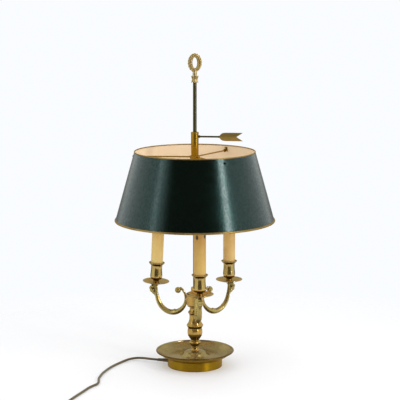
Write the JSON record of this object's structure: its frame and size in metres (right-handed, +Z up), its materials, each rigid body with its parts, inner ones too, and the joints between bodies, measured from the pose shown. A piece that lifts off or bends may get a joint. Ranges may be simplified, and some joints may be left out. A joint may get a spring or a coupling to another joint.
{
  "type": "bouillotte table lamp",
  "caption": "Brass bouillotte table lamp with a dish foot, scroll arms with candle lights and a lacquered metal shade that slides on the pole and is held by an arrow key.",
  "frame": {"origin": "middle of the foot's underside, on the table", "axes": "+Z up along the pole, -Y towards the front arm's side, +X to the right seen from the front"},
  "size_m": [0.4139, 0.5685, 0.6503],
  "materials": {
    "brass": "aged spun brass, lightly tarnished",
    "cast_brass": "aged cast brass, polished on the high parts",
    "dark_brass": "dark aged brass",
    "sleeve_brass": "warm aged brass",
    "key_brass": "satin aged brass",
    "gilt_edge": "pale gilt edge",
    "iron": "rough cast iron",
    "thread_steel": "plated steel",
    "board": "pressed board",
    "felt": "green felt",
    "candle": "yellowed ivory candle sleeve",
    "bakelite": "black moulded resin",
    "bulb_cap": "rolled screw thread",
    "bulb_glass": "satin candle bulb glass",
    "green_lacquer": "dark green lacquer outside, warm cream inside",
    "cord_sheath": "glossy brown flexible sheath",
    "switch_shell": "brown moulded plastic",
    "rocker": "brown moulded rocker",
    "pin_metal": "nickel-plated pins"
  },
  "bodies": {
    "base": {"foot_drum": "brass", "dish_tray": "brass", "ballast": "iron", "base_cover": "board", "felt_pad": "felt", "tie_tube": "thread_steel", "tie_nuts": "thread_steel", "stem_foot": "cast_brass", "stem_knop": "cast_brass", "stem_vase": "cast_brass", "stem_column": "cast_brass", "arm_hub": "cast_brass", "hub_cap": "cast_brass", "pole": "dark_brass", "finial_collar": "cast_brass", "finial_ring": "cast_brass", "arm_front": "cast_brass", "arm_right": "cast_brass", "arm_left": "cast_brass", "arm_screws": "thread_steel", "drip_pan_front": "brass", "drip_pan_right": "brass", "drip_pan_left": "brass", "candle_cup_front": "brass", "candle_cup_right": "brass", "candle_cup_left": "brass", "riser_tubes": "thread_steel", "candle_front": "candle", "candle_right": "candle", "candle_left": "candle", "lamp_holder_front": "bakelite", "lamp_holder_right": "bakelite", "lamp_holder_left": "bakelite", "bulb_cap_front": "bulb_cap", "bulb_cap_right": "bulb_cap", "bulb_cap_left": "bulb_cap", "bulb_front": "bulb_glass", "bulb_right": "bulb_glass", "bulb_left": "bulb_glass", "cord_bushing": "cord_sheath", "cord_run": "cord_sheath", "switch_base": "switch_shell", "switch_cover": "switch_shell", "cord_link": "cord_sheath", "cord_coil": "cord_sheath", "cord_tail": "cord_sheath", "plug_body": "switch_shell", "plug_pins": "pin_metal"},
    "liner": {"grip_liner": "dark_brass"},
    "shade": {"slide_sleeve": "sleeve_brass", "sleeve_cap": "sleeve_brass", "spider": "sleeve_brass", "spider_nuts": "dark_brass", "shade_shell": "green_lacquer", "shade_top_rim": "gilt_edge", "shade_low_bead": "gilt_edge", "shade_screws": "dark_brass"},
    "key": {"arrow_key": "key_brass"},
    "rocker": {"switch_rocker": "rocker"}
  },
  "joints": [
    {"name": "shade_height", "type": "slide", "parent": "base", "child": "liner", "axis": [0, 0, 1], "range_m": [-0.065, 0.095]},
    {"name": "shade_turn", "type": "hinge", "parent": "liner", "child": "shade", "pos_m": [0, 0, 0.465], "axis": [0, 0, 1], "continuous": true},
    {"name": "key_turn", "type": "hinge", "parent": "shade", "child": "key", "pos_m": [0, 0, 0.4816], "axis": [0.9945, -0.1045, 0], "range_deg": [0, 270]},
    {"name": "switch_rock", "type": "hinge", "parent": "base", "child": "rocker", "pos_m": [-0.184, -0.319, 0.012], "axis": [0, 1, 0], "range_deg": [0, 14]}
  ]
}
